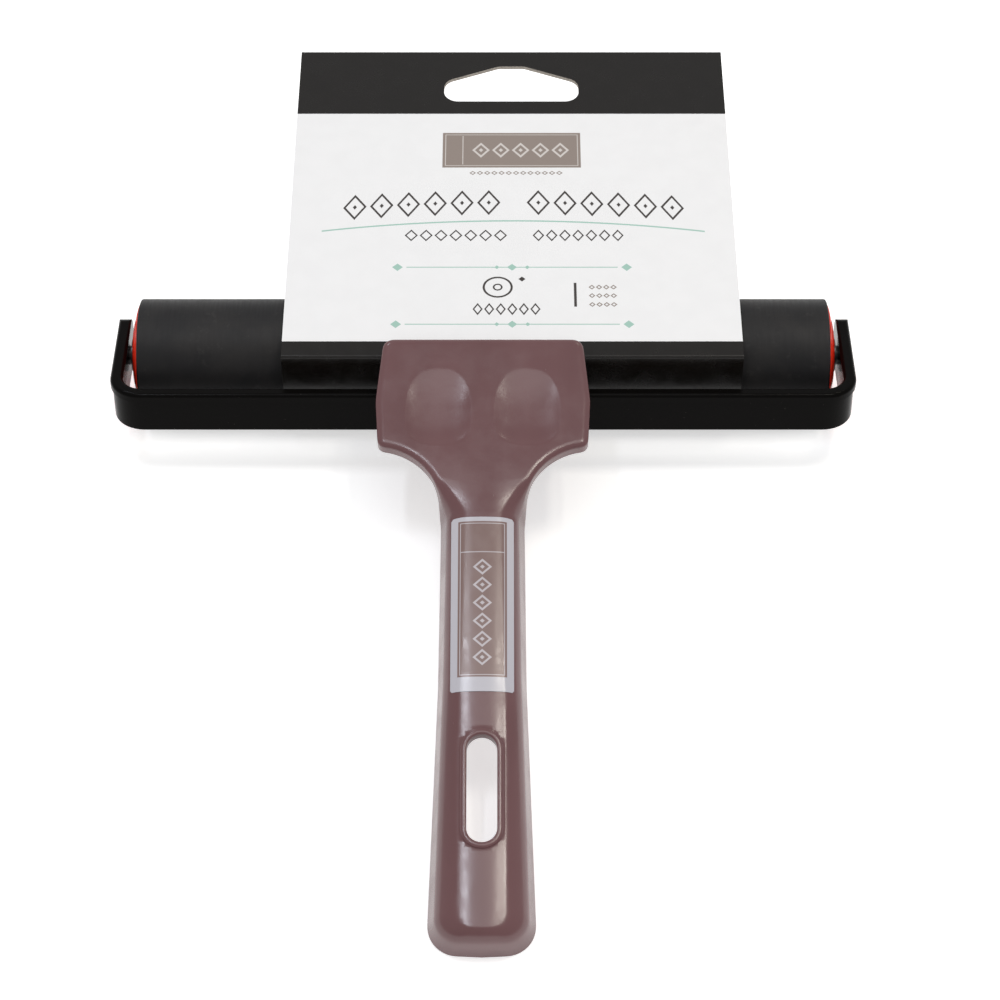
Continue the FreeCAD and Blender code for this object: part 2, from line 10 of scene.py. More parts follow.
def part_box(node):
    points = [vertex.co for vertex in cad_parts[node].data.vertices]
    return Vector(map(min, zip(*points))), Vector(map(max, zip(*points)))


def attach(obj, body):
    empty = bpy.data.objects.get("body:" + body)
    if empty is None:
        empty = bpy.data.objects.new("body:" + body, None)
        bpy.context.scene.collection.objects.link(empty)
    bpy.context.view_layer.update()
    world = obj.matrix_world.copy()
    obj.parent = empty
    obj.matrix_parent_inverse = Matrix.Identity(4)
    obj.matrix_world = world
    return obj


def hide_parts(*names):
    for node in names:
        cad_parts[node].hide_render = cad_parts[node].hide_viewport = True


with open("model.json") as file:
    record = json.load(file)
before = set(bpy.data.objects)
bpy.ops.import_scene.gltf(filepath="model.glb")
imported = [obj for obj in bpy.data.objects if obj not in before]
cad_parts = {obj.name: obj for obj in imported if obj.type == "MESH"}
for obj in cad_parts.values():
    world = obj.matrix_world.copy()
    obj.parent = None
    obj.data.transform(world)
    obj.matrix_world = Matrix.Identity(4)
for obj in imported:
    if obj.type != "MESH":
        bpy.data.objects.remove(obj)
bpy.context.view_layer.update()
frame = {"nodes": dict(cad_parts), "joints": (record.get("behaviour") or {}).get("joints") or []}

MM = 0.001
nodes = frame["nodes"]
axle = Vector(frame["joints"][0]["pos_m"])
HANDLE_PITCH = math.radians(10.0)
HANDLE_END = Vector((0.0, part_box("handle_shell")[0].y, 0.0))


# ---------------------------------------------------------------- node graphs

class Graph:
    """A material's node tree, with short calls for the nodes that this script uses."""

    def __init__(self, name):
        self.material = bpy.data.materials.new(name)
        self.material.use_nodes = True
        self.tree = self.material.node_tree
        self.shader = self.tree.nodes["Principled BSDF"]

    def feed(self, socket, value):
        """Link another node's output, or set the input's own value."""
        if isinstance(value, bpy.types.NodeSocket):
            self.tree.links.new(value, socket)
        elif isinstance(value, tuple) and len(value) == 3 and socket.type == "RGBA":
            socket.default_value = (*value, 1.0)
        else:
            socket.default_value = value

    def node(self, kind, inputs, **settings):
        """A new node with its settings and its inputs."""
        made = self.tree.nodes.new(kind)
        for key, value in settings.items():
            setattr(made, key, value)
        for key, value in inputs.items():
            self.feed(made.inputs[key], value)
        return made

    def surface(self, **values):
        """Principled inputs; an underscore in a name stands for a space."""
        for key, value in values.items():
            self.feed(self.shader.inputs[key.replace("_", " ")], value)
        return self.material

    def sums(self, operation, first, second=0.0):
        """The output of one arithmetic node."""
        return self.node("ShaderNodeMath", {0: first, 1: second}, operation=operation).outputs[0]

    def fade(self, value, start, stop, low=0.0, high=1.0):
        """Maps start..stop to low..high with soft ends."""
        inputs = {"Value": value, "From Min": start, "From Max": stop, "To Min": low, "To Max": high}
        made = self.node("ShaderNodeMapRange", inputs, interpolation_type="SMOOTHSTEP")
        return made.outputs["Result"]

    def mix(self, factor, first, second):
        """Blend of two colours."""
        made = self.node("ShaderNodeMix", {0: factor}, data_type="RGBA")
        self.feed(made.inputs[6], first)
        self.feed(made.inputs[7], second)
        return made.outputs[2]

    def place(self):
        """Object coordinates, in metres."""
        return self.node("ShaderNodeTexCoord", {}).outputs["Object"]

    def stretched(self, scale):
        """Object coordinates scaled by a vector, for marks that run one way."""
        return self.node("ShaderNodeMapping", {"Vector": self.place(), "Scale": scale}).outputs[0]

    def noise(self, size, detail=2.0, where=None, roughness=0.5):
        """Noise whose features are about size across, in metres."""
        inputs = {"Vector": where or self.place(), "Scale": 1.0 / size, "Detail": detail,
                  "Roughness": roughness}
        return self.node("ShaderNodeTexNoise", inputs).outputs["Fac"]

    def bump(self, height, depth, strength=1.0, under=None):
        """A surface normal from a height, with its depth in metres."""
        inputs = {"Height": height, "Distance": depth, "Strength": strength}
        if under:
            inputs["Normal"] = under
        return self.node("ShaderNodeBump", inputs).outputs["Normal"]


def srgb(red, green, blue):
    """Linear colour from the 0-255 values of a colour picker."""
    def linear(value):
        share = value / 255
        return share / 12.92 if share <= 0.04045 else ((share + 0.055) / 1.055) ** 2.4
    return tuple(linear(value) for value in (red, green, blue))


# ---------------------------------------------------------------- plain finishes

def rubber_finish():
    """Matte black rubber with faint mottling, a fine ground surface and a few dusty smudges."""
    graph = Graph("rubber")
    mottle = graph.fade(graph.noise(9 * MM, 4), 0.35, 0.7)
    dust = graph.fade(graph.noise(3 * MM, 6, roughness=0.7), 0.56, 0.78, high=0.5)
    around = graph.noise(0.5 * MM, 2, graph.stretched((1.0, 0.08, 0.08)))
    grey = graph.mix(mottle, (0.011, 0.0105, 0.0115), (0.018, 0.0165, 0.0165))
    grain = graph.bump(graph.noise(0.22 * MM, 3), 0.02 * MM, 0.5)
    return graph.surface(
        Base_Color=graph.mix(dust, grey, (0.042, 0.04, 0.038)),
        Roughness=graph.fade(around, 0.3, 0.7, 0.52, 0.58),
        Specular_IOR_Level=0.24,
        Normal=graph.bump(around, 0.005 * MM, 0.3, grain))


def enamel_finish():
    """Black gloss enamel on the strap: slight orange peel, hairline wear and specks of dust."""
    graph = Graph("enamel")
    peel = graph.bump(graph.noise(1.6 * MM, 2), 0.03 * MM, 0.5)
    specks = graph.fade(graph.noise(0.35 * MM, 1), 0.79, 0.83)
    haze = graph.fade(graph.noise(6 * MM, 4), 0.4, 0.75, 0.16, 0.3)
    return graph.surface(
        Base_Color=graph.mix(specks, (0.0032, 0.0028, 0.0026), (0.07, 0.065, 0.06)),
        Roughness=haze,
        Specular_IOR_Level=0.04,
        Normal=peel)


def gloss_plastic(name, light, dark, peel_depth=0.02, specular=0.5):
    """Moulded gloss plastic: flow variation in the colour, fine peel and a few hair scratches."""
    graph = Graph(name)
    flow = graph.fade(graph.noise(14 * MM, 3, graph.stretched((1.0, 0.35, 1.0))), 0.3, 0.72)
    scratch_place = graph.stretched((1.0, 0.06, 1.0))
    scratches = graph.fade(graph.noise(0.35 * MM, 1, scratch_place), 0.8, 0.84, high=0.3)
    peel = graph.bump(graph.noise(2.4 * MM, 2), peel_depth * MM, 0.6)
    haze = graph.fade(graph.noise(7 * MM, 5, roughness=0.6), 0.35, 0.7, 0.17, 0.27)
    return graph.surface(
        Base_Color=graph.mix(flow, dark, light),
        Roughness=graph.sums("ADD", haze, scratches),
        Specular_IOR_Level=specular,
        Normal=graph.bump(scratches, -0.01 * MM, 0.5, peel))


def satin_black(name):
    """Satin black moulding or metal, greyer where it is worn."""
    graph = Graph(name)
    wear = graph.fade(graph.noise(0.8 * MM, 3), 0.5, 0.75)
    return graph.surface(
        Base_Color=graph.mix(wear, (0.012, 0.012, 0.012), (0.035, 0.034, 0.033)),
        Roughness=graph.fade(wear, 0.0, 1.0, 0.32, 0.48),
        Normal=graph.bump(graph.noise(0.5 * MM, 2), 0.01 * MM, 0.4))


# ---------------------------------------------------------------- printed shapes

class Print:
    """Masks for plain printed shapes, in millimetres across and along a flat sheet."""

    def __init__(self, graph, across, along):
        self.graph, self.across, self.along = graph, across, along

    def inside(self, distance, soft=0.06):
        """1 where the signed distance is negative."""
        return self.graph.fade(distance, soft, -soft)

    def box_distance(self, across, along, centre, half):
        """Distance from a rectangle's edge, negative inside it."""
        sums = self.graph.sums
        gap_across = sums("SUBTRACT", sums("ABSOLUTE", sums("SUBTRACT", across, centre[0])), half[0])
        gap_along = sums("SUBTRACT", sums("ABSOLUTE", sums("SUBTRACT", along, centre[1])), half[1])
        return sums("MAXIMUM", gap_across, gap_along)

    def box(self, left, right, low, high):
        """A filled rectangle."""
        centre = ((left + right) / 2, (low + high) / 2)
        half = ((right - left) / 2, (high - low) / 2)
        return self.inside(self.box_distance(self.across, self.along, centre, half))

    def outline(self, left, right, low, high, stroke):
        """A rectangle's outline, with the stroke inside it."""
        centre = ((left + right) / 2, (low + high) / 2)
        half = ((right - left) / 2 - stroke / 2, (high - low) / 2 - stroke / 2)
        distance = self.box_distance(self.across, self.along, centre, half)
        ring = self.graph.sums("SUBTRACT", self.graph.sums("ABSOLUTE", distance), stroke / 2)
        return self.inside(ring, 0.04)

    def diamond(self, centre, radius):
        """A filled diamond."""
        sums = self.graph.sums
        gap_across = sums("ABSOLUTE", sums("SUBTRACT", self.across, centre[0]))
        gap_along = sums("ABSOLUTE", sums("SUBTRACT", self.along, centre[1]))
        return self.inside(sums("SUBTRACT", sums("ADD", gap_across, gap_along), radius))

    def lozenges(self, left, right, low, high, count, stroke, bow=0.0, dot=0.0):
        """A row of outlined lozenges where a word would be; bow drops its ends, per mm squared."""
        sums = self.graph.sums
        pitch = (right - left) / count
        half_wide, half_high = pitch * 0.43 - stroke / 2, (high - low) / 2 - stroke / 2
        along = sums("ADD", self.along, sums("MULTIPLY", sums("POWER", self.across, 2.0), bow))
        start = sums("SUBTRACT", self.across, left)
        cell = sums("SUBTRACT", start, sums("MULTIPLY", sums("FLOOR", sums("DIVIDE", start, pitch)), pitch))
        off_across = sums("ABSOLUTE", sums("SUBTRACT", cell, pitch / 2))
        off_along = sums("ABSOLUTE", sums("SUBTRACT", along, (low + high) / 2))
        size = sums("ADD", sums("DIVIDE", off_across, half_wide), sums("DIVIDE", off_along, half_high))
        scale = half_wide * half_high / math.hypot(half_wide, half_high)
        distance = sums("MULTIPLY", sums("SUBTRACT", size, 1.0), scale)
        ring = self.inside(sums("SUBTRACT", sums("ABSOLUTE", distance), stroke / 2), 0.05)
        if dot:
            ring = sums("MAXIMUM", ring, self.inside(sums("SUBTRACT", size, dot), 0.05))
        row = self.box(left, right, low - 5, high + 5)
        return sums("MULTIPLY", ring, row)

    def ring(self, centre, radius, stroke):
        """An outlined circle."""
        sums = self.graph.sums
        off_across = sums("POWER", sums("SUBTRACT", self.across, centre[0]), 2.0)
        off_along = sums("POWER", sums("SUBTRACT", self.along, centre[1]), 2.0)
        distance = sums("SUBTRACT", sums("POWER", sums("ADD", off_across, off_along), 0.5), radius)
        return self.inside(sums("SUBTRACT", sums("ABSOLUTE", distance), stroke / 2), 0.05)

    def either(self, *masks):
        """One mask that covers all of them."""
        joined = masks[0]
        for mask in masks[1:]:
            joined = self.graph.sums("MAXIMUM", joined, mask)
        return joined


# ---------------------------------------------------------------- header card

CARD_LOW, CARD_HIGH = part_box("header_card")
CARD_MIDDLE = (CARD_LOW.x + CARD_HIGH.x) / 2
CARD_HALF = (CARD_HIGH.x - CARD_LOW.x) / 2
BOARD = 0.45 * MM
WRAP_RADIUS = axle.z - CARD_LOW.z
FOLD = Vector((-12.2 * MM, CARD_HIGH.z - axle.z))
FAR_EDGE = Vector((CARD_HIGH.y - axle.y, 3.8 * MM))
CREASE = Vector((8.0 * MM, -WRAP_RADIUS))
JOIN_SHARE = 0.706
LAYER_GAP = 0.02 * MM
FOLD_ROUND = 0.55 * MM
PRINTED, INSIDE, CUT_EDGE = range(3)


def rounded_corner(before, corner, after, radius, steps=6):
    """Points of an arc of that radius that rounds one corner of a path."""
    back, ahead = (before - corner).normalized(), (after - corner).normalized()
    half_angle = back.angle(ahead) / 2
    reach = radius / math.tan(half_angle)
    centre = corner + (back + ahead).normalized() * (radius / math.sin(half_angle))
    first = corner + back * reach - centre
    sweep = math.pi - 2 * half_angle
    turn = 1 if back.x * ahead.y - back.y * ahead.x < 0 else -1
    points = []
    for step in range(steps + 1):
        angle = turn * sweep * step / steps
        cosine, sine = math.cos(angle), math.sin(angle)
        points.append(centre + Vector((first.x * cosine - first.y * sine,
                                       first.x * sine + first.y * cosine)))
    return points


def between(start, stop, count):
    """The inner points that split a line into that many equal steps."""
    return [start.lerp(stop, step / count) for step in range(1, count)]


def card_path():
    """Outside of the board across its width: panel, fold, front, wrap, crease, rear layer."""
    angle = math.atan2(FOLD.y, FOLD.x) + math.acos(WRAP_RADIUS / FOLD.length)
    tangent = Vector((math.cos(angle), math.sin(angle))) * WRAP_RADIUS
    join = FOLD.lerp(FAR_EDGE, JOIN_SHARE)
    rear_join = join - Vector((0, 2 * BOARD))
    rear_end = FAR_EDGE - Vector((0, 2 * BOARD))
    fold = rounded_corner(FAR_EDGE, FOLD, tangent, FOLD_ROUND)
    crease = rounded_corner(Vector((0, -WRAP_RADIUS)), CREASE, rear_join, 4 * MM)
    path = [FAR_EDGE] + between(FAR_EDGE, fold[0], 24) + fold + between(fold[-1], tangent, 4)
    turns = 24
    for step in range(turns):
        around = angle + (1.5 * math.pi - angle) * step / turns
        path.append(Vector((math.cos(around), math.sin(around))) * WRAP_RADIUS)
    path += [Vector((0, -WRAP_RADIUS))] + crease + between(crease[-1], rear_join, 12)
    return path + [rear_join] + between(rear_join, rear_end, 8) + [rear_end]


def inward_offsets(path):
    """The board's inside for each point of its outside."""
    inside = []
    for index, point in enumerate(path):
        ahead = path[min(index + 1, len(path) - 1)] - path[max(index - 1, 0)]
        normal = Vector((-ahead.y, ahead.x)).normalized()
        inside.append(point + normal * (BOARD - LAYER_GAP / 2))
    return inside


def path_lengths(path):
    """Distance of each point from the front fold, positive up the panel, in millimetres."""
    lengths = [0.0]
    for before, after in zip(path, path[1:]):
        lengths.append(lengths[-1] + (after - before).length)
    fold_index = min(range(len(path)), key=lambda index: (path[index] - FOLD).length)
    return [(lengths[fold_index] - length) / MM for length in lengths]


def board_mesh():
    """The folded board as a closed shell: printed outside, bare inside and cut edges."""
    outside = card_path()
    inside = inward_offsets(outside)
    along = path_lengths(outside)
    columns = 28
    mesh = bpy.data.meshes.new("card_board")
    shape = bmesh.new()
    sheet = shape.loops.layers.uv.new("sheet")
    grids = []
    for line in (outside, inside):
        grid = []
        for place in line:
            row = []
            for column in range(columns + 1):
                share = 2 * column / columns - 1
                where = (CARD_MIDDLE + share * CARD_HALF, axle.y + place.x, axle.z + place.y)
                row.append(shape.verts.new(where))
            grid.append(row)
        grids.append(grid)
    position = {}
    for grid in grids:
        for index, row in enumerate(grid):
            for column, vertex in enumerate(row):
                share = 2 * column / columns - 1
                position[vertex] = (share * CARD_HALF / MM, along[index])

    def face(corners, material):
        made = shape.faces.new(corners)
        made.material_index = material
        made.smooth = material != CUT_EDGE
        for loop in made.loops:
            loop[sheet].uv = position[loop.vert]

    outer, inner = grids
    last = len(outside) - 1
    for index in range(last):
        for column in range(columns):
            face([outer[index][column], outer[index + 1][column],
                  outer[index + 1][column + 1], outer[index][column + 1]], PRINTED)
            face([inner[index][column], inner[index][column + 1],
                  inner[index + 1][column + 1], inner[index + 1][column]], INSIDE)
        for column, flip in ((0, False), (columns, True)):
            corners = [outer[index][column], inner[index][column],
                       inner[index + 1][column], outer[index + 1][column]]
            face(corners[::-1] if flip else corners, CUT_EDGE)
    for column in range(columns):
        face([outer[0][column], outer[0][column + 1], inner[0][column + 1], inner[0][column]], CUT_EDGE)
        face([outer[last][column], inner[last][column], inner[last][column + 1],
              outer[last][column + 1]], CUT_EDGE)
    bmesh.ops.recalc_face_normals(shape, faces=shape.faces)
    shape.to_mesh(mesh)
    shape.free()
    return mesh


HOLE_HALF = 15.9 * MM
HOLE_NEAR, HOLE_SHOULDER, HOLE_PEAK = 72.1 * MM, 79.4 * MM, 84.8 * MM
HOLE_FLAT = 3.0 * MM
HOLE_ROUND = 3.4 * MM
PUNCH_DOWN, PUNCH_LENGTH = 10 * MM, 30 * MM


def hole_outline():
    """The peaked hang hole, from the axle across and along the card."""
    corners = [(-HOLE_HALF, HOLE_NEAR), (HOLE_HALF, HOLE_NEAR), (HOLE_HALF, HOLE_SHOULDER),
               (HOLE_FLAT, HOLE_PEAK), (-HOLE_FLAT, HOLE_PEAK), (-HOLE_HALF, HOLE_SHOULDER)]
    corners = [Vector(corner) for corner in corners]
    count = len(corners)
    outline = []
    for index, corner in enumerate(corners):
        outline += rounded_corner(corners[index - 1], corner, corners[(index + 1) % count],
                                  HOLE_ROUND, 10)
    return outline


def cut_hang_hole(board):
    """Punch the hang hole through both layers; its sides are cut edges like the board's own."""
    shape = bmesh.new()
    rim = [shape.verts.new((CARD_MIDDLE + place.x, axle.y + place.y, axle.z - PUNCH_DOWN))
           for place in hole_outline()]
    bottom = shape.faces.new(rim)
    raised = bmesh.ops.extrude_face_region(shape, geom=[bottom])["geom"]
    top = [item for item in raised if isinstance(item, bmesh.types.BMVert)]
    bmesh.ops.translate(shape, verts=top, vec=(0, 0, PUNCH_LENGTH))
    bmesh.ops.recalc_face_normals(shape, faces=shape.faces)
    mesh = bpy.data.meshes.new("hole_punch")
    shape.to_mesh(mesh)
    shape.free()
    for material in board.data.materials:
        mesh.materials.append(material)
    for polygon in mesh.polygons:
        polygon.material_index = CUT_EDGE
    punch = bpy.data.objects.new("hole_punch", mesh)
    bpy.context.scene.collection.objects.link(punch)
    cut = board.modifiers.new("hang_hole", "BOOLEAN")
    cut.operation = "DIFFERENCE"
    cut.solver = "EXACT"
    cut.object = punch
    bpy.context.view_layer.update()
    evaluated = board.evaluated_get(bpy.context.evaluated_depsgraph_get())
    cut_mesh = bpy.data.meshes.new_from_object(evaluated)
    board.modifiers.clear()
    board.data = cut_mesh
    bpy.data.objects.remove(punch)


# Printed places, in millimetres from the card's middle and from its front fold.
FRONT_BAND, FAR_BAND, REAR_START, REAR_BAND = 4.6, 80.2, -48.0, -106.5
TITLE_WORDS, TITLE_LINE, TITLE_BOW = ((-38.8, -2.2), (3.0, 39.6)), (45.4, 53.4), 0.0013
SUBTITLE_WORDS, SUBTITLE_LINE = ((-24.4, -0.9), (4.5, 25.4)), (36.6, 40.2)
SIZE_RING, SIZE_MARK, SIZE_LINE = (-3.2, 21.6), (2.2, 24.2), (12.9, 16.4)
COUNT_LINES = ((20.9, 22.3), (18.2, 19.6), (15.4, 16.8))
THICK, MEDIUM, FINE, HAIR = 0.5, 0.34, 0.26, 0.24
ARC_BOW, RULES = 0.00185, (28.0, 9.9)


def black_bands(ink):
    """Black over the front face and wrap, and at the far edges of the panel and the rear layer."""
    sums = ink.graph.sums
    front = sums("MULTIPLY", sums("LESS_THAN", ink.along, FRONT_BAND),
                 sums("GREATER_THAN", ink.along, REAR_START))
    return ink.either(front, sums("GREATER_THAN", ink.along, FAR_BAND),
                      sums("LESS_THAN", ink.along, REAR_BAND))


def dark_marks(ink):
    """Lozenges where the large words would be, with a ring, a small mark and one upright stroke."""
    marks = [ink.lozenges(*word, *TITLE_LINE, 6, THICK, bow=TITLE_BOW, dot=0.2) for word in TITLE_WORDS]
    marks += [ink.lozenges(*word, *SUBTITLE_LINE, 7, MEDIUM) for word in SUBTITLE_WORDS]
    marks += [ink.ring(SIZE_RING, 3.1, THICK), ink.ring(SIZE_RING, 0.9, 0.4)]
    marks += [ink.diamond(SIZE_MARK, 0.8), ink.lozenges(-8.9, 6.4, *SIZE_LINE, 6, MEDIUM)]
    return ink.either(*marks, ink.box(13.7, 14.3, 15.4, 23.0))


def grey_marks(ink):
    """A plain panel, a fine row below it and three short fine rows."""
    rows = [ink.lozenges(16.9, 23.3, *line, 4, FINE) for line in COUNT_LINES]
    return ink.either(ink.box(-16.0, 16.0, 61.3, 73.4), ink.lozenges(-9.8, 11.8, 58.8, 60.1, 13, HAIR),
                      *rows)


def panel_marks(ink):
    """What stands out on the grey panel: a frame line, a divider and five lozenges."""
    return ink.either(ink.outline(-15.4, 15.4, 61.9, 72.8, 0.18), ink.box(-11.4, -11.2, 62.4, 72.3),
                      ink.lozenges(-9.4, 13.6, 64.9, 69.8, 5, THICK, dot=0.3))


def green_marks(ink):
    """A bowed line under the title and two straight rules with diamonds."""
    sums = ink.graph.sums
    bowed = sums("ADD", ink.along, sums("MULTIPLY", sums("POWER", ink.across, 2.0), ARC_BOW))
    marks = [Print(ink.graph, ink.across, bowed).box(-43.0, 43.6, 43.0, 43.45)]
    for rule in RULES:
        marks.append(ink.box(-23.6, 23.6, rule - 0.14, rule + 0.14))
        marks.append(ink.diamond((0, rule), 1.1))
        for side in (-1, 1):
            marks += [ink.diamond((side * 25.6, rule), 1.2), ink.diamond((side * 3.4, rule), 0.6)]
    return ink.either(*marks)


def card_print():
    """Coated board: black bands at the fold and the far edge, plain generic marks between them."""
    graph = Graph("card_print")
    sheet = graph.node("ShaderNodeUVMap", {}, uv_map="sheet").outputs[0]
    split = graph.node("ShaderNodeSeparateXYZ", {0: sheet})
    ink = Print(graph, split.outputs[0], split.outputs[1])
    black = black_bands(ink)
    white = graph.mix(graph.fade(graph.noise(5 * MM, 4), 0.3, 0.7), srgb(235, 235, 236),
                      srgb(237, 237, 238))
    colour = graph.mix(grey_marks(ink), white, srgb(142, 130, 123))
    colour = graph.mix(panel_marks(ink), colour, srgb(205, 199, 195))
    colour = graph.mix(green_marks(ink), colour, srgb(160, 196, 184))
    colour = graph.mix(dark_marks(ink), colour, srgb(62, 57, 55))
    colour = graph.mix(black, colour, (0.0062, 0.0048, 0.004))
    specks = graph.fade(graph.noise(0.3 * MM, 1), 0.8, 0.84, high=0.5)
    colour = graph.mix(graph.sums("MULTIPLY", specks, black), colour, (0.2, 0.19, 0.18))
    gloss = graph.fade(graph.noise(4 * MM, 3), 0.3, 0.7, 0.2, 0.28)
    roughness = graph.sums("ADD", gloss, graph.fade(black, 0.0, 1.0, 0.16, 0.0))
    fibre = graph.bump(graph.noise(0.6 * MM, 3), 0.008 * MM, 0.5)
    return graph.surface(Base_Color=colour, Roughness=roughness, Specular_IOR_Level=0.3, Normal=fibre)


def bare_board(name, light, dark):
    """Uncoated board: short fibres in two greys and a rough, soft surface."""
    graph = Graph(name)
    fibres = graph.fade(graph.noise(0.25 * MM, 4, roughness=0.7), 0.35, 0.65)
    return graph.surface(
        Base_Color=graph.mix(fibres, dark, light), Roughness=0.9,
        Normal=graph.bump(fibres, 0.05 * MM, 0.8))


def make_card():
    """The printed header card, which turns with the card body."""
    board = bpy.data.objects.new("card_board", board_mesh())
    bpy.context.scene.collection.objects.link(board)
    for material in (card_print(), bare_board("card_inside", srgb(214, 208, 198), srgb(196, 190, 180)),
                     bare_board("card_cut_edge", srgb(178, 170, 160), srgb(140, 132, 124))):
        board.data.materials.append(material)
    cut_hang_hole(board)
    smooth_by_angle(board, 35)
    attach(board, "card")
    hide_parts("header_card")


# ---------------------------------------------------------------- moulded handle

# Sizes are millimetres in the handle's own frame: across, along from its end, up from its rim.
# Angles are radians; powers and shares are plain numbers.
HANDLE_TOP, RIM_LEVEL, PLATE_UNDER, ROOF_LEVEL = 9.0, 0.0, 5.9, 7.0
GRIP_ROUND, GRIP_DRAFT, WALL = 4.4, math.radians(12.0), 2.0
PLATE_ROUND, PLATE_EDGE, CAVITY_ROUND = 0.8, 1.7, 2.6
GRIP_END, GRIP_WAIST, GRIP_NECK = Vector((11.1, 0.5)), Vector((9.2, 58.0)), Vector((8.9, 94.4))
FLARE_START, FLARE_STOP, FLARE_RADIUS = Vector((9.4, 99.2)), Vector((22.4, 109.9)), 14.3
HEAD_WIDEST, HEAD_REAR = Vector((23.0, 121.0)), Vector((21.5, 135.9))
END_ROUND, FRONT_CORNER, HEAD_CORNER = 6.2, 1.8, 2.3
FLAT_GRIP, FLAT_NECK, FLAT_START, FLAT_ROUND = Vector((4.8, 46.0)), Vector((3.4, 94.4)), 3.6, 3.4
MORPH_START, MORPH_STOP = GRIP_NECK.y, 102.5
CROWN = 0.0166
SLOT_HALF, SLOT_START, SLOT_STOP = 3.1, 21.0, 44.0
RIM_WIDTH, RIM_RISE = 1.3, 0.5
HOLLOW_CENTRE, HOLLOW_HALF = (9.5, 119.3), (7.1, 9.2)
HOLLOW_SHALLOW, HOLLOW_SLOPE = 0.34, 0.25
HOLLOW_SIDE_POWER, HOLLOW_FAR_POWER, HOLLOW_NEAR_POWER = 2.6, 2, 4.0
CLOSED_INSET, CLOSED_STEP = 0.3, 0.08
UNDER_START, UNDER_OVERLAP, UNDER_NARROW = 96.0, 0.07, 0.975
UNDER_CORNER, UNDER_CHAMFER = (19.6, 110.8), 0.6
RIM_FOOT, RIM_STEP, RIM_BASE, RIM_POWER = 0.25, 0.06, 0.1, 0.7
SLOT_LIP, SLOT_FLARE = 0.8, 0.25
OUTLINE_SPACING, OUTLINE_ROUNDS = 0.6, 4
HOLLOW_SPACING, GRIP_SPACING, ROOF_SPACING, GRID_INSET = 0.3, 0.6, 1.2, 0.7


def handle_point(across, along, up):
    """From the handle's own millimetres (from its end, above its rim plane) to the frame."""
    cosine, sine = math.cos(HANDLE_PITCH), math.sin(HANDLE_PITCH)
    return HANDLE_END + Vector((across, along * cosine - up * sine, along * sine + up * cosine)) * MM


def smooth_step(value, start, stop):
    """0 before start, 1 after stop, with soft ends between."""
    share = min(max((value - start) / (stop - start), 0.0), 1.0)
    return share * share * (3 - 2 * share)


def arc_points(start, stop, radius, bulge, count):
    """Points of an arc between two places; bulge is the side of its centre."""
    chord = stop - start
    across = Vector((-chord.y, chord.x)).normalized() * bulge
    centre = (start + stop) / 2 + across * math.sqrt(radius * radius - chord.length_squared / 4)
    first, last = start - centre, stop - centre
    sweep = first.angle_signed(last)
    points = []
    for step in range(count + 1):
        turn = -sweep * step / count
        cosine, sine = math.cos(turn), math.sin(turn)
        points.append(centre + Vector((first.x * cosine - first.y * sine,
                                       first.x * sine + first.y * cosine)))
    return points


def morph(along):
    """0 in the grip, 1 in the head, smooth along the neck."""
    return smooth_step(along, MORPH_START, MORPH_STOP)


def flat_half(along):
    """Half width of the grip's top between its shoulders."""
    share = min(max((along - FLAT_GRIP.y) / (FLAT_NECK.y - FLAT_GRIP.y), 0.0), 1.0)
    return FLAT_GRIP.x + (FLAT_NECK.x - FLAT_GRIP.x) * share


def crowned(plan, up):
    """A place on the handle, with the grip's gentle crown taken off its height."""
    drop = CROWN * plan.x ** 2 * (1 - morph(plan.y)) / HANDLE_TOP
    return handle_point(plan.x, plan.y, up * (1 - drop))


def head_plan():
    """Right side of the head's plan, from the flare to the middle of its rear edge."""
    middle = Vector((0, HEAD_REAR.y))
    path = arc_points(FLARE_START, FLARE_STOP, FLARE_RADIUS, -1, 30)
    front = path.pop()
    while (path[-1] - front).length < FRONT_CORNER:
        path.pop()
    path += rounded_corner(path[-1], front, HEAD_WIDEST, FRONT_CORNER, 8) + [HEAD_WIDEST]
    return path + rounded_corner(HEAD_WIDEST, HEAD_REAR, middle, HEAD_CORNER, 10) + [middle]


def paired(rim, flat):
    """A point of the plan's outline together with the edge of the flat top that it faces."""
    return Vector((rim.x, rim.y, flat.x, flat.y))


def right_outline():
    """Paired points from the middle of the grip's end, up its right side, to the rear's middle."""
    flat_corner = Vector((FLAT_GRIP.x, FLAT_START))
    slot_side = GRIP_END.lerp(GRIP_WAIST, (FLAT_GRIP.y - GRIP_END.y) / (GRIP_WAIST.y - GRIP_END.y))
    flat_waist = Vector((flat_half(GRIP_WAIST.y), GRIP_WAIST.y))
    start = paired(Vector((0, 0)), Vector((0, FLAT_START)))
    rims = rounded_corner(Vector((0, 0)), GRIP_END, GRIP_WAIST, END_ROUND, 16)
    flats = rounded_corner(Vector((0, FLAT_START)), flat_corner, FLAT_GRIP, FLAT_ROUND, 16)
    path = [start] + [paired(rim, flat) for rim, flat in zip(rims, flats)]
    path += [paired(slot_side, FLAT_GRIP), paired(GRIP_WAIST, flat_waist), paired(GRIP_NECK, FLAT_NECK)]
    plan = [GRIP_NECK] + head_plan()
    for before, point, after in zip(plan, plan[1:], plan[2:]):
        ahead = (after - before).normalized()
        neck_flank = GRIP_NECK.x - FLAT_NECK.x
        reach = neck_flank + (PLATE_EDGE - neck_flank) * morph(point.y)
        path.append(paired(point, point + Vector((-ahead.y, ahead.x)) * reach))
    return path + [paired(plan[-1], plan[-1] - Vector((0, PLATE_EDGE)))]


def resampled(path, spacing):
    """The same path with points at most spacing apart."""
    dense = [path[0]]
    for before, after in zip(path, path[1:]):
        count = max(1, math.ceil((after - before).length / spacing))
        dense += [before.lerp(after, step / count) for step in range(1, count + 1)]
    return dense


